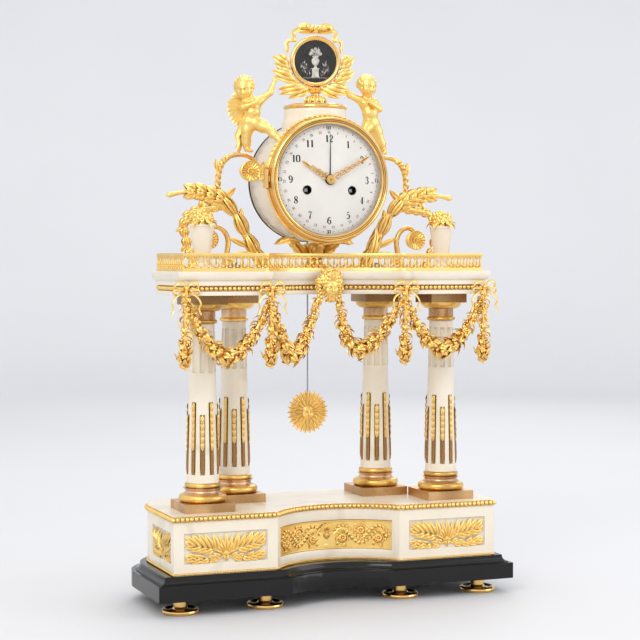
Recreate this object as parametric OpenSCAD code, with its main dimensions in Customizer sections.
// Portico clock: a drum clock on a marble entablature carried by four columns, with gilt bronze mounts.
// Units are millimetres. X runs to the right, Y to the back and Z up. The origin is under the middle.

/* [Plinth] */
// Height of the turned feet
foot_h = 15; // [12:0.5:18]
// Radius of the turned feet
foot_r = 18; // [14:0.5:20]
// Width of the black marble plinth
plinth_w = 370; // [360:1:390]
// Depth of the black marble plinth
plinth_d = 150; // [146:1:160]
// Height of the plinth's upright face
plinth_face_h = 15.6; // [10:0.2:20]
// Height of the ledge and hollow above that face
plinth_hollow_h = 7.3; // [5:0.1:10]
// How far the hollow steps in at its top
plinth_step = 8.5; // [6:0.1:9]
// Half chord of the plinth's front bay
plinth_bay_chord = 52; // [44:1:58]
// Depth of the plinth's front bay
plinth_bay_sag = 19; // [14:0.5:22]
// Radius of the plinth's rear corners
plinth_corner_r = 60; // [50:1:66]

/* [Base block] */
// Width of the white marble block
base_w = 336; // [332:1:342]
// Depth of the white marble block
base_d = 131; // [130:0.5:132]
// Height of the white marble block
base_h = 56.1; // [52:0.1:64]
// Half chord of the block's front bay
base_bay_chord = 64; // [58:1:68]
// Depth of the block's front bay
base_bay_sag = 33; // [28:0.5:36]
// Radius of the block's rear corners
base_corner_r = 48; // [44:1:54]
// Height of the sunk fields
field_h = 29; // [24:0.5:32]
// Height of a field's lower edge above the block's foot
field_z = 10.6; // [9:0.1:14]
// Depth of the sunk fields
field_deep = 2; // [1.5:0.1:3]
// Width of the fields on the front
field_front_w = 83; // [76:0.5:86]
// Width of the fields on the ends
field_end_w = 62; // [54:0.5:64]
// Margin between a field and the block's front corner
bay_margin = 9; // [7:0.5:12]
field_margin = 10.5; // [9:0.1:12]
// Height of the upper bead
upper_bead_h = 5.8; // [5:0.1:6.5]
// Height of the lower bead
lower_bead_h = 2.6; // [2:0.1:4]

/* [Columns] */
// Distance of the front columns from the middle
front_col_x = 126.9; // [124:0.1:130]
// Distance of the rear columns from the middle
rear_col_x = 77.2; // [74:0.1:80]
// Distance of the columns from the middle, front and rear alike
col_y = 26.2; // [25.6:0.1:27]
// Side of the column's square foot
col_foot_w = 50; // [46:0.5:50]
// Height of the column's square foot
col_foot_h = 8.5; // [7:0.1:11]
// Radius of the column's lower torus
col_torus_r = 23.5; // [21:0.1:24.5]
// Shaft radius at the bottom
shaft_r_low = 15.8; // [14.5:0.1:16.2]
// Shaft radius at the top
shaft_r_top = 11.9; // [11:0.1:12.8]
// Length of the marble shaft
shaft_h = 153; // [140:1:170]
// Number of flutes round a shaft
flute_n = 10; // [8:2:12]
// Radius of a flute
flute_r = 2.6; // [2.2:0.1:2.8]
// Side of the capital's abacus
abacus_w = 39; // [36:0.5:42]
// Height of the capital's abacus
abacus_h = 9.5; // [7:0.1:11]
// Radius of the iron tie rod inside a column
tie_r = 3; // [2.4:0.1:3.4]

/* [Entablature] */
// Width of the marble slab at its cornice
slab_w = 326; // [322:1:332]
// Depth of the marble slab at its cornice
slab_d = 133; // [130:0.5:136]
// Height of the marble slab
slab_h = 22.9; // [20:0.1:28]
// Half chord of the slab's front bay
slab_bay_chord = 69; // [64:1:72]
// Depth of the slab's front bay
slab_bay_sag = 34; // [30:0.5:36]
// Radius of the slab's rear corners
slab_corner_r = 48; // [44:1:54]
// Height of the pierced gallery
gallery_h = 17.5; // [14:0.5:20]
// Spacing of the gallery's balusters
gallery_pitch = 7.2; // [6.4:0.1:9]

/* [Drum] */
// Height of the dial's centre above the entablature
drum_up = 89.5; // [88:0.1:92]
// Radius of the marble drum
drum_r = 59.5; // [59:0.1:60.5]
// Radius of the drum's bore
drum_bore_r = 52; // [51.5:0.1:53]
// Outer radius of the bezel
bezel_r = 62; // [61:0.1:63]
// Sight radius of the dial
sight_r = 54.5; // [53:0.1:55.5]
// How far the dial is crowned
dial_crown = 5; // [3:0.1:6]
// How far the glass is crowned
glass_crown = 12; // [11.5:0.1:14]
// Radius of the winding holes
wind_hole_r = 4.2; // [3.6:0.1:5]
// Distance of the winding holes from the middle
wind_x = 23.6; // [23.2:0.1:24.4]
// Drop of the winding holes below the middle
wind_drop = 10.3; // [9:0.1:12]

/* [Hands and pendulum] */
// Length of the minute hand
minute_len = 47; // [40:0.5:50]
// Length of the hour hand
hour_len = 35.5; // [30:0.5:40]
// Length of the calendar hand
date_len = 45; // [38:0.5:48]
// Angle of the minute hand, clockwise from twelve
minute_at = 60; // [0:1:359]
// Angle of the hour hand, clockwise from twelve
hour_at = 300; // [0:1:359]
// Radius of the pendulum bob
bob_r = 20; // [16:0.5:22]
// Distance from the pendulum's pivot to the middle of the bob
pendulum_len = 268; // [240:1:290]

/* [Top mounts] */
// Height of the marble urns
urn_h = 44.8; // [38:0.1:48]
// Radius of the urns at the rim
urn_r = 12.3; // [10:0.1:13]
// Radius of the marble cap on the drum
cap_r = 31; // [28:0.5:33]
// Outer radius of the medallion's frame
medal_r = 25.6; // [23:0.1:27]
// Turn of the finial on its stud, towards the left
finial_turn = 14; // [0:1:20]

/* [Hidden] */
$fn = 96;
// Low counts for cast ornament, which is modelled as rounded facets
orn_fn = 8;
thin_fn = 5;
// A hair of overlap that lets the parts of one casting join, and a gap between separate pieces
joint = 0.3;
gap = 0.1;
run = 0.06;

// Heights, from the floor up
plinth_z = foot_h;
base_z = plinth_z + plinth_face_h + plinth_hollow_h;
base_top = base_z + base_h;
torus_h = 7.5;
scotia_h = 6;
ring_h = 5;
shaft_z = base_top + col_foot_h + torus_h + scotia_h + ring_h;
astragal_h = 4;
neck_h = 8;
echinus_h = 6;
capital_z = shaft_z + shaft_h;
slab_z = capital_z + astragal_h + neck_h + echinus_h + abacus_h;
slab_top = slab_z + slab_h;
drum_z = slab_top + drum_up;

// Depths, from the glass back to the rear door
ring_front = -34;
ring_back = -31.7;
drum_front = -31.6;
drum_back = 30;
door_back = ring_front - 2 * gap;
bezel_front = -43.5;
lip_back = -40.5;
plate_t = 2;
front_plate_y = -26.5;
rear_plate_y = 9.5;
rear_ring_t = 3;
rear_ring_y = drum_back + gap;
rear_door_y = rear_ring_y + rear_ring_t + 2 * gap;
rear_door_t = 1.8;
pendulum_y = 21.7;
scroll_y = 4;

// Seats that line up across the front
bay_r = function(chord, sag) (chord * chord + sag * sag) / (2 * sag);
base_bay_r = bay_r(base_bay_chord, base_bay_sag);
base_bay_y = -base_d / 2 - base_bay_r + base_bay_sag;
slab_bay_r = bay_r(slab_bay_chord, slab_bay_sag);
slab_bay_y = -slab_d / 2 - slab_bay_r + slab_bay_sag;
columns = [[-front_col_x, -col_y], [front_col_x, -col_y], [-rear_col_x, col_y], [rear_col_x, col_y]];
front_columns = [columns[0], columns[1]];
rear_columns = [columns[2], columns[3]];
feet_at = [[-157, -50], [-71.5, -50], [71.5, -50], [157, -50], [-118, 48], [118, 48]];
tie_bore_r = tie_r + 0.3;

// Offsets of the slab's mouldings from the cornice edge
fascia_in = 5;
bead_in = 8;
bead_out = 3;
fillet_in = 4;
fascia_h = 3.9;
bead_h = 5.6;
fillet_h = 4.5;
ovolo_h = slab_h - fascia_h - bead_h - fillet_h;
gallery_in = 5;
gallery_t = 3;
rail_low = 3.6;
rail_top = 3.2;

// Going train: teeth, modules and places round the middle of the dial
great_n = 84;
great_m = 0.5;
inter_n = 72;
inter_leaf = 14;
centre_n = 80;
centre_leaf = 8;
third_n = 72;
third_leaf = 8;
escape_n = 30;
escape_leaf = 6;
fine_m = 0.36;
small_m = 0.3;
// Opened depth between tooth tips, so that the wheels pass freely
depth_gap = 0.15;
addendum = 1;
anchor_up = 35;
escape_up = 22;
escape_r = 9;
swing = 4;
tip = function(n, m) m * (n / 2 + addendum);
barrel_at = [wind_x, -wind_drop];
inter_from_barrel = tip(great_n, great_m) + tip(inter_leaf, great_m) + depth_gap;
inter_from_centre = tip(inter_n, fine_m) + tip(centre_leaf, fine_m) + depth_gap;
third_from_centre = tip(centre_n, fine_m) + tip(third_leaf, fine_m) + depth_gap;
third_from_escape = tip(third_n, small_m) + tip(escape_leaf, small_m) + depth_gap;
// The point at distance a from p and b from q, on the left of the line from p to q
meet = function(p, q, a, b)
    let (d = norm(q - p), u = (q - p) / d, s = (a * a - b * b + d * d) / (2 * d))
    p + s * u + sqrt(a * a - s * s) * [-u[1], u[0]];
inter_at = meet([0, 0], barrel_at, inter_from_centre, inter_from_barrel);
third_at = meet([0, 0], [0, escape_up], third_from_centre, third_from_escape);

gilt = "goldenrod";
marble = "ivory";
black_marble = "#202022";
brass = "darkkhaki";
steel = "slategray";

// Shared shapes

// Plan of a slab: square front corners, round rear corners and a hollow front bay
module plan(w, d, corner, chord, sag, grow = 0) {
    r = bay_r(chord, sag);
    hw = w / 2;
    hd = d / 2;
    difference() {
        union() {
            translate([-hw - grow, -hd - grow]) square([w + 2 * grow, d - corner + grow]);
            translate([-hw + corner, hd - corner - joint]) square([w - 2 * corner, corner + joint + grow]);
            for (s = [-1, 1]) translate([s * (hw - corner), hd - corner]) circle(corner + grow);
        }
        translate([0, -hd - r + sag]) circle(r - grow);
    }
}

// A slab whose edge carries a moulding: each profile point is an offset from the plan and a height
module moulded_slab(profile, w, d, corner, chord, sag) {
    r = bay_r(chord, sag);
    hw = w / 2;
    hd = d / 2;
    n = len(profile) - 1;
    across = concat([for (p = profile) [hw + p[0], p[1]]],
                    [for (i = [n:-1:0]) [-hw - profile[i][0], profile[i][1]]]);
    front = concat([for (p = profile) [-hd - p[0], p[1]]],
                   [[hd - corner, profile[n][1]], [hd - corner, profile[0][1]]]);
    rear = concat([for (p = profile) [hd + p[0], p[1]]],
                  [[hd - corner, profile[n][1]], [hd - corner, profile[0][1]]]);
    difference() {
        union() {
            intersection() {
                translate([0, hd, 0]) rotate([90, 0, 0]) linear_extrude(2 * d) polygon(across);
                rotate([90, 0, 90]) translate([0, 0, -w]) linear_extrude(2 * w) polygon(front);
            }
            rotate([90, 0, 90]) translate([0, 0, -hw + corner]) linear_extrude(w - 2 * corner) polygon(rear);
            for (s = [0, 1])
                mirror([s, 0, 0]) translate([hw - corner, hd - corner, 0])
                    rotate_extrude(angle = 90) polygon(round_section(profile, corner, 1));
        }
        translate([0, -hd - r + sag, 0]) rotate_extrude() polygon(round_section(profile, r, -1));
    }
}

// Section from the axis out to a moulded edge, side 1 for a round corner and -1 for the bay's void
function round_section(profile, r, side) =
    let (n = len(profile) - 1, over = side < 0 ? 1 : 0)
    concat([[0, profile[0][1] - over], [r + side * profile[0][0], profile[0][1] - over]],
           [for (p = profile) [r + side * p[0], p[1]]],
           [[r + side * profile[n][0], profile[n][1] + over], [0, profile[n][1] + over]]);

// A rounded bar through a list of points, with a radius at each
module chain(points, radii, fn = orn_fn) {
    for (i = [0:len(points) - 2])
        hull() {
            translate(points[i]) sphere(radii[i], $fn = fn);
            translate(points[i + 1]) sphere(radii[i + 1], $fn = fn);
        }
}

// A pointed leaf from one point to another, with a ridge down the side that it shows
module leaf(from, to, w, facing = [0, -1, 0]) {
    dir = (to - from) / norm(to - from);
    side = cross(facing, dir) / norm(cross(facing, dir));
    up = cross(dir, side);
    mid = from * 0.58 + to * 0.42;
    polyhedron([from, to, mid + side * w / 2, mid - side * w / 2, mid + up * w * 0.22, mid - up * w * 0.22],
               [[2, 4, 0], [1, 4, 2], [3, 4, 1], [0, 4, 3], [0, 5, 2], [2, 5, 1], [1, 5, 3], [3, 5, 0]]);
}

// Points of an upright plan curve, set at one depth
function upright(points, y, side = 1) = [for (p = points) [side * p[0], y, p[1]]];

// A turned piece whose axis runs front to back through the drum's centre line
module along_y(at = [0, 0], y = 0) {
    translate([at[0], y, drum_z + at[1]]) rotate([-90, 0, 0]) children();
}

// Outline of a toothed wheel
module toothed(n, m) {
    root = m * (n / 2 - 1.2);
    top = tip(n, m);
    step = 360 / n;
    polygon([for (i = [0:n - 1], c = [[-0.26, root], [-0.12, top], [0.12, top], [0.26, root]])
        c[1] * [cos((i + c[0]) * step), sin((i + c[0]) * step)]]);
}

// Plinth and base block

module feet() {
    disc_h = 5;
    half = disc_h / 2;
    neck_r = 6.8;
    collar_r = 9.3;
    color(gilt)
        for (p = feet_at)
            translate([p[0], p[1], 0])
                rotate_extrude()
                    polygon(concat(
                        [[0, 0]],
                        [for (a = [-90:30:90]) [foot_r - half + half * cos(a), half + half * sin(a)]],
                        [[foot_r - 6, disc_h - 1.5], [neck_r + 1, disc_h - 0.6], [neck_r, disc_h + 1.5],
                         [neck_r, foot_h - 2], [collar_r, foot_h - 1], [collar_r, foot_h], [0, foot_h]]));
}

module black_plinth() {
    ledge = 4;
    riser = 1;
    top = plinth_face_h + plinth_hollow_h;
    hollow = [for (a = [0:15:90])
        [-plinth_step + (plinth_step - ledge) * (1 - sin(a)),
         top - (plinth_hollow_h - riser) * cos(a)]];
    nut_deep = 9;
    color(black_marble)
        difference() {
            translate([0, 0, plinth_z])
                moulded_slab(concat([[0, 0], [0, plinth_face_h], [-ledge, plinth_face_h]], hollow),
                             plinth_w, plinth_d, plinth_corner_r, plinth_bay_chord, plinth_bay_sag);
            for (p = columns) translate([p[0], p[1], plinth_z]) {
                translate([0, 0, -1]) cylinder(h = top + 2, r = tie_bore_r);
                translate([0, 0, -1]) cylinder(h = nut_deep + 1, r = 8.5);
            }
        }
}

// Half angle of the relief's field in the bay
bay_half = asin(base_bay_chord / base_bay_r) - bay_margin / base_bay_r * 180 / PI;

module marble_base() {
    field_x = base_w / 2 - field_margin - field_front_w;
    color(marble)
        difference() {
            translate([0, 0, base_z]) linear_extrude(base_h)
                plan(base_w, base_d, base_corner_r, base_bay_chord, base_bay_sag);
            for (s = [0, 1]) mirror([s, 0, 0]) {
                translate([field_x, -base_d / 2 - 1, base_z + field_z])
                    cube([field_front_w, field_deep + 1, field_h]);
                translate([base_w / 2 - field_deep, -base_d / 2 + field_margin, base_z + field_z])
                    cube([field_deep + 1, field_end_w, field_h]);
            }
            translate([0, base_bay_y, base_z + field_z]) rotate(90 - bay_half)
                rotate_extrude(angle = 2 * bay_half)
                    translate([base_bay_r - 1, 0]) square([field_deep + 1, field_h]);
            for (p = columns) translate([p[0], p[1], base_z - 1]) cylinder(h = base_h + 2, r = tie_bore_r);
        }
}

module bead_strip(z, h, out) {
    translate([0, 0, z]) linear_extrude(h)
        difference() {
            plan(base_w, base_d, base_corner_r, base_bay_chord, base_bay_sag, out);
            plan(base_w, base_d, base_corner_r, base_bay_chord, base_bay_sag, 0);
        }
}

module base_beads() {
    color(gilt) {
        bead_strip(base_top - upper_bead_h, upper_bead_h, 2.6);
        bead_strip(base_z, lower_bead_h, 1.3);
    }
}

module relief_panel() {
    trim = gap / base_bay_r * 180 / PI;
    color(gilt)
        translate([0, base_bay_y, base_z + field_z + gap]) rotate(90 - bay_half + trim)
            rotate_extrude(angle = 2 * (bay_half - trim))
                translate([base_bay_r + 0.4, 0]) square([field_deep - 0.4, field_h - 2 * gap]);
}

// A flat pointed leaf outline along +X
module leaf_outline(length, w) {
    n = 8;
    polygon(concat([for (i = [0:n]) [length * i / n, w / 2 * sin(180 * pow(i / n, 0.75))]],
                   [for (i = [n - 1:-1:1]) [length * i / n, -w / 2 * sin(180 * pow(i / n, 0.75))]]));
}

// Pierced spray of leaves on two stems tied in the middle, lying in its field
module leaf_spray(w, h) {
    stem_w = 1.6;
    pairs = 5;
    reach = w / 2 - 2;
    for (s = [0, 1]) mirror([s, 0]) {
        translate([0, -stem_w / 2]) square([reach - 6, stem_w]);
        for (i = [0:pairs - 1], side = [-1, 1]) {
            root = reach * (i + 0.12) / pairs;
            slant = 62 - 7 * i;
            length = min((h / 2 - 1.4) / sin(slant), (reach - root) / cos(slant));
            translate([root, 0]) rotate(side * slant) leaf_outline(length, 6.4);
        }
        translate([reach - 14, 0]) leaf_outline(14, 6.5);
    }
    circle(4.5);
}

module leaf_panels() {
    thick = field_deep - 0.2;
    mid_z = base_z + field_z + field_h / 2;
    front_x = base_w / 2 - field_margin - field_front_w / 2;
    end_y = -base_d / 2 + field_margin + field_end_w / 2;
    color(gilt)
        for (s = [0, 1]) mirror([s, 0, 0]) {
            translate([front_x, -base_d / 2 + field_deep, mid_z]) rotate([90, 0, 0])
                linear_extrude(thick) leaf_spray(field_front_w, field_h);
            translate([base_w / 2 - field_deep, end_y, mid_z]) rotate([90, 0, 90])
                linear_extrude(thick) leaf_spray(field_end_w, field_h);
        }
}

// Columns

module column_bases() {
    r = col_torus_r;
    half = torus_h / 2;
    scotia_r = 16.6;
    ring_r = 17.6;
    torus = [for (a = [-90:30:90]) [r - half + half * cos(a), half + half * sin(a)]];
    scotia = [for (a = [0:30:180]) [scotia_r + 3 * (1 - sin(a)), torus_h + scotia_h * a / 180]];
    ring = [for (a = [-90:30:90])
        [ring_r - ring_h / 2 + ring_h / 2 * cos(a), torus_h + scotia_h + ring_h / 2 * (1 + sin(a))]];
    color(gilt)
        for (p = columns) translate([p[0], p[1], base_top])
            difference() {
                union() {
                    linear_extrude(col_foot_h) square(col_foot_w, center = true);
                    translate([0, 0, col_foot_h]) rotate_extrude()
                        polygon(concat([[0, 0]], torus, scotia, ring, [[0, torus_h + scotia_h + ring_h]]));
                }
                translate([0, 0, -1]) cylinder(h = 60, r = tie_bore_r);
            }
}

// Flute heights above the foot of the shaft, and the shaft's lean
flute_low = 8;
flute_long = 78;
flute_short = 66;
flute_up_low = 106;
flute_up_top = 146;
shaft_lean = atan((shaft_r_low - shaft_r_top) / shaft_h);
function shaft_r(h) = shaft_r_low + (shaft_r_top - shaft_r_low) * h / shaft_h;
function flute_top(i) = i % 2 == 0 ? flute_long : flute_short;

// One groove or rod laid along the shaft's surface, at the given turn
module along_shaft(turn, from, to, r) {
    rotate(turn) translate([shaft_r(from), 0, from]) rotate([0, -shaft_lean, 0])
        cylinder(h = to - from, r = r);
}

module column_shafts() {
    step = 360 / flute_n;
    color(marble)
        for (p = columns) translate([p[0], p[1], shaft_z])
            difference() {
                cylinder(h = shaft_h, r1 = shaft_r_low, r2 = shaft_r_top);
                translate([0, 0, -1]) cylinder(h = shaft_h + 2, r = tie_bore_r);
                for (i = [0:flute_n - 1]) {
                    along_shaft((i + 0.5) * step - 90, flute_low, flute_top(i), flute_r);
                    along_shaft((i + 0.5) * step - 90, flute_up_low, flute_up_top, flute_r);
                }
            }
}

module column_flute_rods() {
    step = 360 / flute_n;
    color(gilt)
        for (p = columns, i = [0:flute_n - 1]) translate([p[0], p[1], shaft_z])
            along_shaft((i + 0.5) * step - 90, flute_low + gap, flute_top(i) - gap, flute_r - gap);
}

module column_capitals() {
    neck_r = 12.6;
    astragal_r = 14.5;
    echinus_r = 20.5;
    half = astragal_h / 2;
    astragal = [for (a = [-90:30:90]) [astragal_r - half + half * cos(a), half + half * sin(a)]];
    echinus_z = astragal_h + neck_h;
    lip_r = neck_r + 1;
    echinus = [for (a = [0:15:90])
        [lip_r + (echinus_r - lip_r) * sin(a), echinus_z + echinus_h * (1 - cos(a))]];
    color(gilt)
        for (p = columns) translate([p[0], p[1], capital_z])
            difference() {
                union() {
                    rotate_extrude()
                        polygon(concat([[0, 0]], astragal, [[neck_r, astragal_h], [neck_r, echinus_z]],
                                       echinus, [[0, echinus_z + echinus_h]]));
                    translate([-abacus_w / 2, -abacus_w / 2, echinus_z + echinus_h])
                        cube([abacus_w, abacus_w, abacus_h]);
                }
                translate([0, 0, -1]) cylinder(h = 60, r = tie_bore_r);
            }
}

// Iron rods that clamp plinth, columns and slab together, with a square nut at each end
module tie_rods() {
    nut_w = 11;
    nut_h = 6;
    low = plinth_z + 3;
    seat = plinth_z + 9;
    color(steel) {
        for (p = columns) translate([p[0], p[1], 0]) {
            translate([0, 0, low]) cylinder(h = slab_top + 8 - low, r = tie_r);
            translate([-nut_w / 2, -nut_w / 2, seat - nut_h]) cube([nut_w, nut_w, nut_h]);
        }
        for (p = rear_columns) translate([p[0], p[1], slab_top]) translate([-nut_w / 2, -nut_w / 2, 0])
            cube([nut_w, nut_w, nut_h]);
    }
}

// Entablature and gallery

module entablature() {
    z1 = fascia_h;
    z2 = z1 + bead_h;
    z3 = z2 + fillet_h;
    ovolo = [for (a = [0:15:90]) [-fillet_in + fillet_in * sin(a), z3 + ovolo_h * (1 - cos(a))]];
    slot_half = 14;
    slot_w = 7;
    color(marble)
        difference() {
            translate([0, 0, slab_z])
                moulded_slab(concat([[-fascia_in, 0], [-fascia_in, z1], [-bead_in, z1], [-bead_in, z2],
                                     [-fillet_in, z2]], ovolo),
                             slab_w, slab_d, slab_corner_r, slab_bay_chord, slab_bay_sag);
            for (p = columns) translate([p[0], p[1], slab_z - 1]) cylinder(h = slab_h + 2, r = tie_bore_r);
            translate([-slot_half, pendulum_y - slot_w / 2, slab_z - 1])
                cube([2 * slot_half, slot_w, slab_h + 2]);
        }
}

module entablature_bead() {
    color(gilt)
        translate([0, 0, slab_z + fascia_h + gap]) linear_extrude(bead_h - 2 * gap)
            difference() {
                plan(slab_w, slab_d, slab_corner_r, slab_bay_chord, slab_bay_sag, -bead_out);
                plan(slab_w, slab_d, slab_corner_r, slab_bay_chord, slab_bay_sag, -bead_in);
            }
}

// A turned gallery baluster, standing between the rails
module baluster() {
    h = gallery_h - rail_low - rail_top;
    translate([0, 0, rail_low - joint]) rotate_extrude($fn = 24)
        polygon([[0, 0], [1.3, 0], [1.3, joint + 0.6], [0.7, 2.2], [1.35, h * 0.45], [0.7, h * 0.8],
                 [1.3, h - 0.4], [1.3, h + 2 * joint], [0, h + 2 * joint]]);
}

module rails(low_h = rail_low, top_h = rail_top) {
    linear_extrude(low_h) children();
    translate([0, 0, gallery_h - top_h]) linear_extrude(top_h) children();
}

// Outer face of the gallery, and the bay's half chord there
gal_hw = slab_w / 2 - gallery_in;
gal_hd = slab_d / 2 - gallery_in;
gal_corner = slab_corner_r - gallery_in;
gal_bay_r = slab_bay_r + gallery_in;
gal_chord = sqrt(gal_bay_r * gal_bay_r - pow(gal_hd + slab_bay_y, 2));

// Balusters at an even spacing along a straight run on +X
module baluster_row(length) {
    n = floor(length / gallery_pitch);
    for (i = [0:n - 1]) translate([length * (i + 0.5) / n, 0, 0]) baluster();
}

module gallery_fronts() {
    run_l = gal_hw - gal_chord;
    mitre = gallery_t * gal_chord / (-slab_bay_y - gal_hd);
    color(gilt)
        for (s = [0, 1]) mirror([s, 0, 0]) translate([gal_chord, -gal_hd, slab_top]) {
            rails() polygon([[gap, 0], [run_l, 0], [run_l, gallery_t], [gap + mitre, gallery_t]]);
            translate([0, gallery_t / 2, 0]) baluster_row(run_l);
        }
}

module gallery_bay() {
    half = asin(gal_chord / gal_bay_r);
    trim = gap / gal_bay_r * 180 / PI;
    arc = 2 * (half - trim);
    n = floor(arc * PI / 180 * gal_bay_r / gallery_pitch);
    color(gilt)
        translate([0, slab_bay_y, slab_top]) {
            for (z = [[0, rail_low], [gallery_h - rail_top, rail_top]])
                translate([0, 0, z[0]]) rotate(90 - half + trim) rotate_extrude(angle = arc)
                    translate([gal_bay_r, 0]) square([gallery_t, z[1]]);
            for (i = [0:n - 1]) rotate(90 - half + trim + arc * (i + 0.5) / n)
                translate([gal_bay_r + gallery_t / 2, 0, 0]) baluster();
        }
}

module gallery_ends() {
    start = -gal_hd + gallery_t + gap;
    run_l = gal_hd - gal_corner - start;
    arc_n = floor(gal_corner * PI / 2 / gallery_pitch);
    color(gilt)
        for (s = [0, 1]) mirror([s, 0, 0]) translate([0, 0, slab_top]) {
            rails() union() {
                translate([gal_hw - gallery_t, start]) square([gallery_t, run_l + joint]);
                translate([gal_hw - gal_corner, gal_hd - gal_corner]) intersection() {
                    difference() {
                        circle(gal_corner);
                        circle(gal_corner - gallery_t);
                    }
                    square(gal_corner + 1);
                }
            }
            translate([gal_hw - gallery_t / 2, start, 0]) rotate(90) baluster_row(run_l);
            for (i = [0:arc_n - 1]) translate([gal_hw - gal_corner, gal_hd - gal_corner, 0])
                rotate(90 * (i + 0.5) / arc_n) translate([gal_corner - gallery_t / 2, 0, 0]) baluster();
        }
}

module gallery_back() {
    half = gal_hw - gal_corner - gap;
    color(gilt)
        translate([-half, gal_hd - gallery_t, slab_top]) {
            rails() square([2 * half, gallery_t]);
            translate([0, gallery_t / 2, 0]) baluster_row(2 * half);
        }
}

// Garlands and mask on the front of the slab

garland_y = -slab_d / 2 + 4.5;
bow_y = -slab_d / 2 + bead_out - 2.2;
bow_z = slab_z + 7;
outer_bow_x = gal_hw - 2.5;
inner_bow_x = gal_chord - 1.5;
mask_y = slab_bay_y + slab_bay_r - 5.5;
mask_z = slab_z + 9;

// A face with leaves round it, its back cut to the curve of the bay
module mask() {
    color(gilt) intersection() {
        translate([0, mask_y, mask_z]) {
            chain([[0, 1, 3], [0, -2, -4], [0, 0, -12]], [10.5, 8.5, 4]);
            chain([[0, -9.5, 1], [0, -11, -4]], [1.6, 2]);
            for (a = [20:20:160])
                leaf([7 * cos(a), -2, 3 + 6 * sin(a)], [16 * cos(a), -3, 3 + 14 * sin(a)], 9);
            for (s = [-1, 1]) {
                chain([[s * 10, 0, 4], [s * 12, 0, -4], [s * 9, 1, -12]], [4, 3.4, 2]);
                leaf([s * 6, -1, -10], [s * 5, 0, -17], 5);
            }
        }
        translate([0, slab_bay_y, slab_z - 30]) cylinder(h = 80, r = slab_bay_r - gap);
    }
}

// Four swags, hung from bow to bow and from the inner bows to the mask, thickest in the middle
module swags() {
    dip = slab_z - 58;
    span = outer_bow_x - inner_bow_x;
    mid = (outer_bow_x + inner_bow_x) / 2;
    rise = bow_z - dip - 10.6;
    steps = 10;
    outer = [for (i = [0:steps])
        let (t = 2 * i / steps - 1) [mid + span / 2 * t, garland_y, dip + rise * pow(abs(t), 1.9)]];
    inner = [for (i = [0:steps])
        let (t = 2 * i / steps - 1, q = i / steps)
        [11 + (inner_bow_x - 12) * pow(q, 1.25), mask_y + 1 + (garland_y - mask_y - 1) * pow(q, 0.8),
         dip + rise * pow(abs(t), 1.9)]];
    thick = [for (i = [0:steps]) let (t = 2 * i / steps - 1) 7.6 - 4.2 * pow(abs(t), 1.4)];
    color(gilt)
        for (s = [0, 1]) mirror([s, 0, 0]) {
            chain(outer, thick);
            chain(inner, thick);
        }
}

// A ribbon bow with a drop of leaves and berries under it
module bow_drops() {
    drop = [[0, -3], [0, -22], [0, -44], [0, -56], [0, -66], [0, -74]];
    drop_r = [2.4, 3.2, 4.4, 6.2, 4.4, 1.2];
    loop = [[0, 0], [5.5, 4.2], [10.5, 2], [6.5, -2], [0, 0]];
    tail = [[0, 0], [8, -8], [12, -17]];
    color(gilt)
        for (x = [-outer_bow_x, -inner_bow_x, inner_bow_x, outer_bow_x]) translate([x, bow_y, bow_z]) {
            chain(upright(drop, -1.2), drop_r);
            for (s = [-1, 1]) {
                chain(upright(loop, 0, s), [2, 1.3, 1.3, 1.3, 2], thin_fn);
                chain(upright(tail, 0, s), [1.6, 1.2, 0.8], thin_fn);
            }
        }
}

// Drum, cap and foot

module drum_case() {
    slot_half = 40;
    slot_w = 6.5;
    color(marble)
        difference() {
            along_y(y = drum_front) cylinder(h = drum_back - drum_front, r = drum_r);
            along_y(y = drum_front - 1) cylinder(h = drum_back - drum_front + 2, r = drum_bore_r);
            translate([-slot_half, pendulum_y - slot_w / 2, drum_z - drum_r - 1])
                cube([2 * slot_half, slot_w, drum_r]);
        }
}

foot_y = 3;
module drum_foot() {
    h = drum_up - drum_r;
    color(gilt)
        difference() {
            translate([0, foot_y, slab_top]) {
                rotate_extrude($fn = 24)
                    polygon([[0, 0], [12, 0], [12, 2.5], [7, 6], [5.5, 10], [8, 16], [13, 22],
                             [16, h + 6], [0, h + 6]]);
                for (s = [-1, 1], y = [-10, 0, 10]) {
                    leaf([s * 9, y * 0.5, 16], [s * 27, y, 30], 9);
                    leaf([s * 20, y * 0.8, 25], [s * (40 - abs(y) * 0.6), y, 32 + abs(y) * 0.2], 8);
                }
            }
            along_y(y = -60) cylinder(h = 120, r = drum_r + gap);
            translate([-60, pendulum_y - 4.5, slab_top]) cube([120, 30, 60]);
        }
}

// The cap stands on the drum: its rise over the drum's crown, and the skirt that reaches down its sides
cap_rise = 11.5;
cap_skirt = 16;
cap_top = drum_z + drum_r + cap_rise;
cap_ring_h = 4;

module drum_cap() {
    h = cap_skirt + cap_rise;
    color(marble)
        difference() {
            translate([0, 0, drum_z + drum_r - cap_skirt]) rotate_extrude()
                polygon([[0, 0], [cap_r + 2.6, 0], [cap_r + 2.4, 14], [cap_r + 0.6, 18], [cap_r, h], [0, h]]);
            along_y(y = -60) cylinder(h = 120, r = drum_r);
        }
}

module cap_ring() {
    half = cap_ring_h / 2;
    color(gilt)
        translate([0, 0, cap_top]) rotate_extrude()
            polygon(concat([[cap_r - 6, 0]],
                           [for (a = [-90:22.5:90]) [cap_r - 1 + half * cos(a), half + half * sin(a)]],
                           [[cap_r - 6, cap_ring_h]]));
}

// Gilt scrolls beside the drum

module rosette(at, r) {
    petals = 8;
    translate([at[0], scroll_y, at[1]]) rotate([90, 0, 0]) {
        for (i = [0:petals - 1]) rotate(i * 360 / petals)
            leaf([r * 0.1, 0, 0], [r, 0, 0.6], r * 0.8, [0, 0, 1]);
        sphere(r * 0.34, $fn = orn_fn);
    }
}

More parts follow.
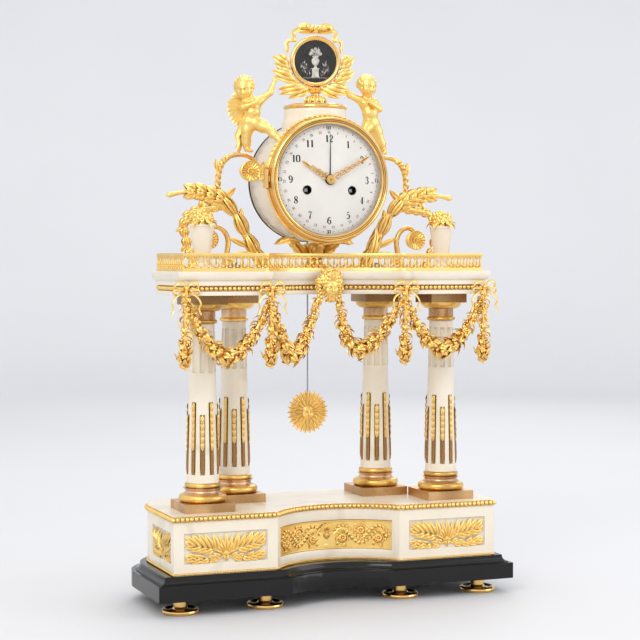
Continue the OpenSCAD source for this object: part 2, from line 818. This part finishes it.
// Scroll on the left: stem and arch, ear of leaves, outer sweep and inner volute
module scroll() {
    base = slab_top;
    stem = [[-53, 2.5], [-57, 10], [-63, 21], [-71, 34], [-79, 50], [-91, 67]];
    arch = [[-91, 67], [-99.6, 76], [-100.4, 91.2], [-97.5, 104.6], [-91, 111.6], [-81, 114.6],
            [-71, 113.6], [-63, 109], [-60.5, 102.4], [-66, 98.6]];
    ear = [[-91, 67], [-104, 72.4], [-119, 77], [-134, 77.4], [-154, 73.8]];
    sweep = [[-91, 67], [-103, 63], [-115.5, 61], [-128, 57.6], [-135, 49.6], [-135.6, 36.6], [-133, 21.6],
             [-130, 2.6]];
    volute = [[-95.5, 2.4], [-92, 18], [-90.6, 28], [-92.6, 36], [-97.6, 41.6], [-110.6, 36]];
    lift = function(points) [for (p = points) [p[0], scroll_y, base + p[1]]];
    spurs = [[[-96, 72], [-85, 80]], [[-78.6, 49], [-76.8, 62]], [[-67, 24], [-92, 33.4]], [[-61, 15], [-83, 17.6]],
             [[-94, 10], [-82, 8]], [[-122, 60], [-118, 70]], [[-134, 45], [-146, 38]]];
    chain(lift(stem), [2.4, 5, 4.6, 4.2, 3.8, 3.8], thin_fn);
    chain(lift(arch), [3.8, 3.2, 2.8, 2.6, 2.4, 2.2, 2.2, 2, 1.8, 1.6], thin_fn);
    chain(lift(ear), [3.4, 3.6, 3.4, 2.6, 0.8], thin_fn);
    chain(lift(sweep), [3.4, 3, 2.8, 3, 3, 2.8, 2.6, 2.5], thin_fn);
    chain(lift(volute), [2.4, 2.6, 2.4, 2.2, 2, 1.8], thin_fn);
    for (i = [0:4]) {
        x = -104 - 10 * i;
        leaf([x, scroll_y, base + 72.5 + i], [x - 6, scroll_y, base + 85 - i], 6);
        leaf([x, scroll_y, base + 72.5 + i], [x - 10, scroll_y - 2, base + 66 + i], 6);
    }
    for (s = spurs) leaf(lift(s)[0], lift(s)[1], 6);
    rosette([-68, base + 98.6], 10);
    rosette([-110.6, base + 31], 9);
}

module scroll_left() { color(gilt) scroll(); }
module scroll_right() { color(gilt) mirror([1, 0, 0]) scroll(); }

// Urns with flowers over the front columns

module urns() {
    h = urn_h;
    color(marble)
        for (p = front_columns) translate([p[0], p[1], slab_top])
            difference() {
                rotate_extrude()
                    polygon([[0, 0], [9.5, 0], [9.5, 3], [6.5, 5], [5.5, 8], [7, 12], [8, 17.6], [9.4, 26],
                             [urn_r - 0.8, h - 2.4], [urn_r, h - 1.8], [urn_r, h], [urn_r - 2, h],
                             [urn_r - 3, h - 6], [0, h - 6]]);
                translate([0, 0, -1]) cylinder(h = 10, r = tie_bore_r);
            }
}

module bouquets() {
    seat = urn_h - 6 + gap;
    color(gilt)
        for (p = front_columns) translate([p[0], p[1], slab_top + seat]) {
            rotate_extrude($fn = 16) polygon([[0, 0], [5, 0], [7, 6], [8, 12], [0, 15]]);
            for (i = [0:7]) {
                a = i * 45;
                leaf([3 * cos(a), 3 * sin(a), 7], [12 * cos(a), 12 * sin(a), 13 + 3 * (i % 2)], 7);
            }
            chain([[0, 0, 12], [0, 0, 18], [0.5, 0, 24.5]], [4.5, 2.4, 0.7]);
        }
}

// Putti: each is a list of limbs as points and radii, measured from the dial's centre and the scrolls' plane

module putto_left() {
    color(gilt)
        translate([0, scroll_y, drum_z]) {
            chain([[-65, 0, 62], [-65, 0, 69], [-65, 0, 75]], [8.6, 8, 7.4]);
            chain([[-66, 0, 78], [-70, 0, 84]], [4.6, 4.2]);
            chain([[-73.5, -1, 91], [-74, -1, 94]], [9.4, 9.8], 10);
            chain([[-69, 1, 57], [-71.5, 0, 41], [-70.5, 1, 31]], [7.4, 5, 3.4]);
            chain([[-70.5, 1, 28.6], [-69, -6, 29.3]], [2.6, 2.2]);
            chain([[-61, -1, 58], [-53.5, -14, 50.5], [-48.8, -27, 41.2]], [7, 5, 3.2]);
            chain([[-48.8, -27, 41.2], [-47, -31, 42]], [2.5, 2]);
            chain([[-58.5, -1, 78], [-47, -2, 87], [-42.5, -3, 101]], [4.2, 3.2, 2.3]);
            chain([[-72, -1, 77], [-76, -5, 72.6], [-63, -9, 78]], [4.2, 3.4, 2.4]);
            for (i = [0:3]) leaf([-66, 3, 76 - i], [-89 + i, 9, 82 - 7 * i], 6.5);
        }
}

module putto_right() {
    color(gilt)
        translate([0, scroll_y, drum_z]) {
            chain([[61, 0, 64], [59.5, 0, 72], [58, 0, 79]], [8.6, 8, 7.4]);
            chain([[57, 0, 82], [58, 0, 89]], [4.6, 4.2]);
            chain([[58.3, -1, 97], [58.5, -1, 100]], [9.4, 9.6], 10);
            chain([[66, 1, 59], [71.5, 0, 46], [77.2, 1, 33]], [7.4, 5, 3.4]);
            chain([[77.4, 1, 29.2], [75, -6, 30.3]], [2.6, 2.2]);
            chain([[77.2, 1, 33], [77.4, 1, 29.2]], [3.2, 2.4]);
            chain([[60, -1, 59], [54, -7, 54], [47.4, -13, 43]], [7, 5, 3.2]);
            chain([[47.4, -13, 42.7], [43.8, -17, 44]], [2.5, 2]);
            chain([[50, -1, 83], [37, -2, 87], [30, -3, 97.6]], [4.2, 3.2, 2.3]);
            chain([[65, -1, 81], [69, -5, 75], [58, -9, 80]], [4.2, 3.4, 2.4]);
            for (i = [0:3]) leaf([59, 3, 80 - i], [81 - i, 9, 86 - 7 * i], 6.5);
        }
}

// Medallion finial, turned a little on its stud

medal_foot = cap_top + cap_ring_h;
medal_z = medal_foot + 44.3;
medal_bed = 1.6;

module finial() {
    rotate(-finial_turn) children();
}

module medallion_frame() {
    inner = medal_r - 4.4;
    rim_r = 2.2;
    color(gilt)
        finial() {
            translate([0, 0, medal_foot]) rotate_extrude()
                polygon([[0, 0], [cap_r - 4, 0], [cap_r - 4, 1.2], [11, 2], [10, 4], [6, 6.5], [4, 9.5],
                         [4, 13], [6.5, 16], [6.5, 18], [0, 20]]);
            translate([0, 0, medal_z]) rotate([-90, 0, 0])
                rotate_extrude()
                    polygon(concat([[0, 0], [0, 2.5], [medal_r - 1, 2.5]],
                                   [for (a = [60:-20:-120])
                                       [medal_r - rim_r + rim_r * cos(a), -1.4 + rim_r * sin(a)]],
                                   [[inner, -2.4], [inner, 0]]));
        }
}

module medallion_plaque() {
    color(black_marble)
        finial() translate([0, -gap, medal_z]) rotate([90, 0, 0]) cylinder(h = medal_bed, r = medal_r - 4.6);
}

module laurel_wreath() {
    r = medal_r + 1.9;
    spray = [for (i = [0:7]) -90 + 13 * i];
    color(gilt)
        finial() translate([0, 0, medal_z])
            for (s = [-1, 1]) {
                chain([for (a = spray) [s * r * cos(a), -1, r * sin(a)]], [for (a = spray) 1.6], thin_fn);
                for (a = spray) {
                    root = [s * r * cos(a), -1, r * sin(a)];
                    leaf(root, root + 13 * [s * cos(a + 42), -0.12, sin(a + 42)], 5);
                    leaf(root, root + 10 * [s * cos(a + 100), -0.2, sin(a + 100)], 4.6);
                    leaf(root, root + 12 * [s * cos(a - 4), 0.2, sin(a - 4)], 4.6);
                }
                chain([[0, -2, r + 1], [s * 7, -3, r + 8], [s * 14, -3, r + 7.6], [s * 12, -3, r + 2],
                       [0, -2, r + 1]], [2.4, 1.5, 1.5, 1.3, 2.2], thin_fn);
                chain([[0, -2, r + 1], [s * 12, -2, r - 4], [s * 19, -2, r - 2], [s * 26, -2, r - 9]],
                      [2, 1.4, 1.3, 0.9], thin_fn);
            }
}

// Bezel, dial and hands

knuckle_r = 1.9;
pin_r = 1;
front_hinge = [-bezel_r - 2.6, -37];
rear_hinge = [bezel_r - 3, rear_door_y + 0.9];
knuckle_h = 6;
knuckle_n = 3;
pin_h = knuckle_n * knuckle_h + 2;
pin_head_h = 1.2;
pin_head_r = 1.5;

// One knuckle of a hinge with an upright pin, counted from the bottom
module knuckle(at, i) {
    z = drum_z + (i - knuckle_n / 2) * knuckle_h + gap / 2;
    difference() {
        union() {
            translate([at[0], at[1], z]) cylinder(h = knuckle_h - gap, r = knuckle_r);
            translate([at[0], at[1], z]) children();
        }
        translate([at[0], at[1], z - 1]) cylinder(h = knuckle_h + 2, r = pin_r + run);
    }
}

// The bore for the whole pin of a hinge and its head, with running room
module pin_bore(at) {
    translate([at[0], at[1], drum_z - pin_h / 2]) {
        cylinder(h = pin_h, r = pin_r + run);
        translate([0, 0, pin_h - 2 * gap]) cylinder(h = pin_head_h + 4 * gap, r = pin_head_r + run);
    }
}

module seat_ring() {
    flange_r = 45;
    edge_r = bezel_r + 1.6;
    strap = knuckle_r + 2.2;
    color(gilt)
        difference() {
            union() {
                along_y() rotate_extrude()
                    polygon([[flange_r, ring_front], [edge_r - 1, ring_front], [edge_r, ring_front + 0.8],
                             [edge_r, ring_back - 0.6], [edge_r - 1, ring_back], [flange_r, ring_back]]);
                for (i = [0, 2]) knuckle(front_hinge, i)
                    translate([-knuckle_r, 0, 0]) cube([strap, ring_back - front_hinge[1], knuckle_h - gap]);
            }
            pin_bore(front_hinge);
            translate([front_hinge[0] - 3, front_hinge[1] - 3, drum_z - knuckle_h / 2 - gap / 2])
                cube([5.4, 5.6, knuckle_h + gap]);
        }
}

module bezel() {
    inner = sight_r + 3.6;
    swell = [for (a = [0:15:90]) [bezel_r - 3 + 3 * cos(a), bezel_front + 3 - 3 * sin(a)]];
    color(gilt)
        difference() {
            union() {
                along_y() rotate_extrude()
                    polygon(concat([[inner, door_back], [bezel_r, door_back]], swell,
                                   [[sight_r + 1.5, bezel_front + 0.6], [sight_r, lip_back - 1.2],
                                    [sight_r, lip_back], [inner, lip_back]]));
                knuckle(front_hinge, 1)
                    translate([0, -knuckle_r, 0]) cube([3.6, 2 * knuckle_r, knuckle_h - gap]);
            }
            pin_bore(front_hinge);
            along_y(y = lip_back) cylinder(h = 30, r = inner);
        }
}

// Points across a crowned disc, from the middle out to the rim
function crown(r, rise, back, n = 8) =
    let (big = (r * r + rise * rise) / (2 * rise))
    [for (i = [0:n]) let (x = r * i / n) [x, back - rise + big - sqrt(big * big - x * x)]];

function reversed(list) = [for (i = [len(list) - 1:-1:0]) list[i]];

module bezel_glass() {
    t = 1.4;
    edge = sight_r - gap;
    rim = lip_back - gap;
    color("lightblue", 0.3)
        along_y() rotate_extrude()
            polygon(concat(crown(edge, glass_crown, rim - t), reversed(crown(edge, glass_crown, rim))));
}

module dial() {
    t = 1.2;
    rim_r = sight_r + 3;
    hole_r = 4.6;
    color("white")
        difference() {
            along_y() rotate_extrude()
                polygon(concat(crown(rim_r, dial_crown, ring_front - gap - t),
                               reversed(crown(rim_r, dial_crown, ring_front - gap))));
            along_y(y = -60) cylinder(h = 40, r = hole_r);
            for (s = [-1, 1]) along_y([s * wind_x, -wind_drop], -60) cylinder(h = 40, r = wind_hole_r);
        }
}

// The hands' pipes nest on the centre arbor, each with running room
arbor_r = 1;
minute_pipe_r = 2;
hour_pipe_r = 3;
date_pipe_r = 4.2;
hand_t = 0.7;
hand_step = 1.1;
hub_front = ring_front - dial_crown - 4.6;

// A hand lies flat against the dial and points up before it is turned clockwise
module hand(y, turn, pipe, bore, back) {
    along_y(y = y) difference() {
        union() {
            linear_extrude(hand_t) rotate(turn) mirror([0, 1]) children();
            cylinder(h = back - y, r = pipe);
        }
        translate([0, 0, -1]) cylinder(h = back - y + 2, r = bore);
    }
}

// Pierced leaf-shaped hand outline along +Y
module pierced_hand(length, swell) {
    difference() {
        union() {
            circle(swell * 0.9);
            translate([-0.6, 0]) square([1.2, length - 2]);
            for (k = [0.34, 0.52, 0.68]) translate([0, length * k]) circle(swell * (1.1 - k * 0.7));
            translate([0, length * 0.72]) polygon([[-1.5, 0], [1.5, 0], [0, length * 0.28]]);
            translate([0, -swell * 1.6]) circle(swell * 0.55);
            translate([-0.8, -swell * 1.6]) square([1.6, swell * 1.6]);
        }
        for (k = [0.34, 0.52], s = [-1, 1]) translate([s * swell * 0.46, length * k]) circle(swell * 0.2);
    }
}

module minute_hand() {
    color(gilt) hand(hub_front, minute_at, minute_pipe_r, arbor_r + run, ring_front + 3)
        pierced_hand(minute_len, 3.6);
}

module hour_hand() {
    color(gilt) hand(hub_front + hand_step, hour_at, hour_pipe_r, minute_pipe_r + run, ring_front + 1.5)
        pierced_hand(hour_len, 4.2);
}

module date_hand() {
    color(steel) hand(hub_front + 2 * hand_step, 0, date_pipe_r, hour_pipe_r + run, ring_front)
        union() {
            circle(4);
            polygon([[-0.8, 0], [0.8, 0], [0.35, date_len], [-0.35, date_len]]);
            polygon([[-1.6, 0], [1.6, 0], [1, -14], [-1, -14]]);
        }
}

module rear_ring() {
    color(brass)
        difference() {
            union() {
                along_y() rotate_extrude()
                    translate([drum_bore_r - 4, rear_ring_y]) square([drum_r - drum_bore_r + 4, rear_ring_t]);
                for (i = [0, 2]) knuckle(rear_hinge, i)
                    translate([-knuckle_r, rear_ring_y - rear_hinge[1], 0])
                        cube([2 * knuckle_r, rear_hinge[1] - rear_ring_y, knuckle_h - gap]);
            }
            pin_bore(rear_hinge);
            translate([rear_hinge[0] - 3, rear_hinge[1] - 2.6, drum_z - knuckle_h / 2 - gap / 2])
                cube([6, 6, knuckle_h + gap]);
        }
}

// Brass rear door with a ring of sound holes
module rear_door() {
    door_r = drum_bore_r + 2;
    holes = 12;
    hole_at = 34;
    color(brass)
        difference() {
            union() {
                along_y(y = rear_door_y) cylinder(h = rear_door_t, r = door_r);
                knuckle(rear_hinge, 1) translate([-6, -0.9, 0]) cube([6, rear_door_t, knuckle_h - gap]);
            }
            pin_bore(rear_hinge);
            for (i = [0:holes - 1])
                along_y(hole_at * [cos(i * 360 / holes), sin(i * 360 / holes)], rear_door_y - 1)
                    cylinder(h = 4, r = 4);
        }
}

module hinge_pins() {
    color(brass)
        for (at = [front_hinge, rear_hinge]) translate([at[0], at[1], drum_z - pin_h / 2]) {
            cylinder(h = pin_h, r = pin_r);
            translate([0, 0, pin_h - gap]) cylinder(h = pin_head_h, r = pin_head_r);
        }
}

// Movement

plate_r = 47;
pillar_at = [for (a = [45, 135, 245, 295]) 42 * [cos(a), sin(a)]];
arbor_bore = arbor_r + run;

module movement_plate(y, bores) {
    along_y(y = y) difference() {
        cylinder(h = plate_t, r = plate_r);
        for (b = bores) translate([b[0][0], -b[0][1], -1]) cylinder(h = plate_t + 2, r = b[1]);
    }
}

winder_r = 2.6;
bores = [[[0, 0], arbor_bore], [barrel_at, winder_r + run], [[-wind_x, -wind_drop], winder_r + run],
         [inter_at, arbor_bore], [third_at, arbor_bore], [[0, escape_up], arbor_bore],
         [[0, anchor_up], arbor_bore]];

module front_plate() { color(brass) movement_plate(front_plate_y, bores); }
module rear_plate() { color(brass) movement_plate(rear_plate_y, bores); }

// Pillars between the plates, and the feet that hold the movement to the seat ring
module movement_pillars() {
    color(brass)
        for (p = pillar_at) {
            along_y(p, front_plate_y + plate_t)
                cylinder(h = rear_plate_y - front_plate_y - plate_t, r = 2.8);
            along_y(p * 1.09, ring_back) cylinder(h = front_plate_y - ring_back, r = 1.2);
        }
}

barrel_y = -22;
barrel_h = 15;
barrel_r = 19.4;
great_y = barrel_y + barrel_h;
wheel_t = 1.2;

// Spring barrel with its great wheel, turning on the winding arbor
module barrel(x) {
    along_y([x, -wind_drop], barrel_y) difference() {
        union() {
            cylinder(h = barrel_h, r = barrel_r);
            translate([0, 0, barrel_h - joint]) linear_extrude(2 + joint) toothed(great_n, great_m);
        }
        translate([0, 0, -1]) cylinder(h = barrel_h + 4, r = winder_r + run);
    }
}

module going_barrel() { color(brass) barrel(wind_x); }
module strike_barrel() { color(brass) barrel(-wind_x); }

// Arbor with a winding square that stands in the dial's hole
module winding_arbor(x) {
    square_w = 3.2;
    square_front = ring_front - 1.5;
    along_y([x, -wind_drop], front_plate_y - 2)
        cylinder(h = rear_plate_y + plate_t + 1 - front_plate_y + 2, r = winder_r);
    along_y([x, -wind_drop], square_front) translate([-square_w / 2, -square_w / 2, 0])
        cube([square_w, square_w, front_plate_y - 2 - square_front + joint]);
}

module going_arbor() { color(steel) winding_arbor(wind_x); }
module strike_arbor() { color(steel) winding_arbor(-wind_x); }

// A wheel and its pinion on one arbor between the plates
module train_arbor(at, wheel_y, n, m, pinion_y, leaves, pm, front, rear) {
    along_y(at, front) cylinder(h = rear - front, r = arbor_r);
    along_y(at, wheel_y) linear_extrude(wheel_t) toothed(n, m);
    along_y(at, pinion_y) linear_extrude(3) toothed(leaves, pm);
}

pivot_front = front_plate_y + 0.4;
pivot_rear = rear_plate_y + plate_t - 0.4;
inter_y = 0;
centre_y = 3.4;
third_y = 6.6;
escape_y = -8;

// Its arbor is turned down to a neck where the rim of the centre wheel passes
module intermediate_wheel() {
    neck_r = 0.4;
    clear = 0.3;
    color(brass) difference() {
        train_arbor(inter_at, inter_y, inter_n, fine_m, great_y - 0.4, inter_leaf, great_m,
                    pivot_front, pivot_rear);
        along_y(inter_at, centre_y - clear) linear_extrude(wheel_t + 2 * clear) difference() {
            circle(2 * arbor_r);
            circle(neck_r);
        }
    }
}

module centre_wheel() {
    color(brass) train_arbor([0, 0], centre_y, centre_n, fine_m, inter_y - 0.8, centre_leaf, fine_m,
                             hub_front - 0.8, pivot_rear);
}

module third_wheel() {
    color(brass) train_arbor(third_at, third_y, third_n, small_m, centre_y - 0.9, third_leaf, fine_m,
                             pivot_front, pivot_rear);
}

module escape_wheel() {
    step = 360 / escape_n;
    tooth = [[0, escape_r - 1.8], [0.62, escape_r], [0.72, escape_r - 0.2]];
    color(brass) {
        along_y([0, escape_up], pivot_front) cylinder(h = pivot_rear - pivot_front, r = arbor_r);
        along_y([0, escape_up], third_y - 0.9) linear_extrude(3) toothed(escape_leaf, small_m);
        along_y([0, escape_up], escape_y) linear_extrude(wheel_t)
            polygon([for (i = [0:escape_n - 1], c = tooth)
                c[1] * [cos((i + c[0]) * step), sin((i + c[0]) * step)]]);
    }
}

// Anchor with its pallets over the escape wheel, and the crutch that holds the pendulum rod
module anchor() {
    arm = anchor_up - escape_up;
    tip = arm + 0.6;
    hollow_r = escape_r + arm * sin(swing) + 0.15;
    reach = hollow_r + 1.2;
    crutch_y = rear_plate_y + plate_t + 1.2;
    crutch_l = 24;
    fork = 1.3;
    color(steel) {
        along_y([0, anchor_up], pivot_front) cylinder(h = crutch_y + 1.6 - pivot_front, r = arbor_r);
        along_y([0, anchor_up], escape_y) linear_extrude(wheel_t)
            difference() {
                union() {
                    circle(2.6);
                    intersection() {
                        translate([0, arm]) circle(reach);
                        translate([-reach, 0]) square([2 * reach, tip]);
                    }
                }
                translate([0, arm]) circle(hollow_r);
            }
        translate([-1.2, crutch_y, drum_z + anchor_up - crutch_l]) cube([2.4, 1.6, crutch_l]);
        for (s = [-1, 1]) translate([s * fork - 0.5, crutch_y, drum_z + anchor_up - crutch_l])
            cube([1, pendulum_y + 2 - crutch_y, 1.2]);
    }
}

// Cock on the rear plate that the pendulum hangs from
module suspension_cock() {
    w = 12;
    y0 = rear_plate_y + plate_t;
    color(brass) {
        translate([-w / 2, y0, drum_z + anchor_up + 4]) cube([w, pendulum_y + 3 - y0, 3]);
        translate([-w / 2, pendulum_y + 1.5, drum_z + anchor_up - 3]) cube([w, 1.5, 7 + joint]);
        along_y([0, anchor_up], pendulum_y - 1.5) cylinder(h = 3 + joint, r = hanger_r);
    }
}

pivot_z = drum_z + anchor_up;
bob_z = pivot_z - pendulum_len;

rod_r = 0.75;
hanger_r = 0.9;

module pendulum_rod() {
    eye_r = 2.2;
    color(steel) {
        difference() {
            along_y([0, anchor_up], pendulum_y - 1) cylinder(h = 2, r = eye_r);
            along_y([0, anchor_up], pendulum_y - 2) cylinder(h = 4, r = hanger_r + run);
        }
        translate([0, pendulum_y, bob_z + bob_r - 4]) cylinder(h = pendulum_len - bob_r + 4 - 1.6, r = rod_r);
    }
}

// Sunburst bob: a domed face in a ring of rays
module pendulum_bob() {
    rays = 32;
    socket_deep = 4.2;
    face_r = bob_r * 0.48;
    thick = 2.4;
    color(gilt)
        translate([0, pendulum_y, bob_z]) rotate([90, 0, 0]) difference() {
            union() {
                translate([0, 0, -thick / 2]) linear_extrude(thick)
                    polygon([for (i = [0:rays - 1], c = [[0, 0.8], [0.5, i % 2 == 0 ? 1 : 0.9]])
                        bob_r * c[1] * [cos((i + c[0]) * 360 / rays), sin((i + c[0]) * 360 / rays)]]);
                translate([0, 0, thick / 2 - joint]) rotate_extrude()
                    polygon(concat([[0, 0], [face_r, 0]],
                                   [for (a = [0:15:90]) [face_r * cos(a), joint + 4 * sin(a)]]));
            }
            rotate([-90, 0, 0]) translate([0, 0, bob_r - socket_deep]) cylinder(h = 10, r = rod_r + gap);
        }
}

bell_at = [26, -14];
module bell() {
    r = 15;
    crown_y = 26;
    y0 = rear_plate_y + plate_t;
    color(brass) {
        along_y(bell_at, crown_y) rotate_extrude()
            polygon([[1.6, -1.6], [6, -1.8], [r - 4, -4.2], [r - 1.6, -8], [r - 0.4, -10.6], [r, -10.6],
                     [r - 0.6, -7.4], [r - 3, -3], [6, -0.2], [1.6, 0]]);
        along_y(bell_at, y0) cylinder(h = crown_y + 1 - y0, r = 1.6);
    }
}

hammer_at = [34, 16];
module hammer() {
    head_r = 2.6;
    y0 = rear_plate_y + plate_t + gap;
    color(steel) {
        along_y(hammer_at, y0) cylinder(h = 10, r = 1.2);
        along_y(hammer_at, y0 + 5) linear_extrude(1.6) polygon([[-1, 0], [1, 0], [-3, 12], [-5, 12]]);
        along_y([30, 4.6], y0 + 4) cylinder(h = 4, r = head_r);
    }
}

feet();
black_plinth();
marble_base();
base_beads();
relief_panel();
leaf_panels();
column_bases();
column_shafts();
column_flute_rods();
column_capitals();
tie_rods();
entablature();
entablature_bead();
gallery_fronts();
gallery_bay();
gallery_ends();
gallery_back();
mask();
swags();
bow_drops();
drum_case();
drum_foot();
drum_cap();
cap_ring();
scroll_left();
scroll_right();
urns();
bouquets();
putto_left();
putto_right();
medallion_frame();
medallion_plaque();
laurel_wreath();
seat_ring();
bezel();
bezel_glass();
dial();
hour_hand();
minute_hand();
date_hand();
rear_ring();
rear_door();
hinge_pins();
front_plate();
rear_plate();
movement_pillars();
going_barrel();
strike_barrel();
going_arbor();
strike_arbor();
centre_wheel();
intermediate_wheel();
third_wheel();
escape_wheel();
anchor();
suspension_cock();
pendulum_rod();
pendulum_bob();
bell();
hammer();
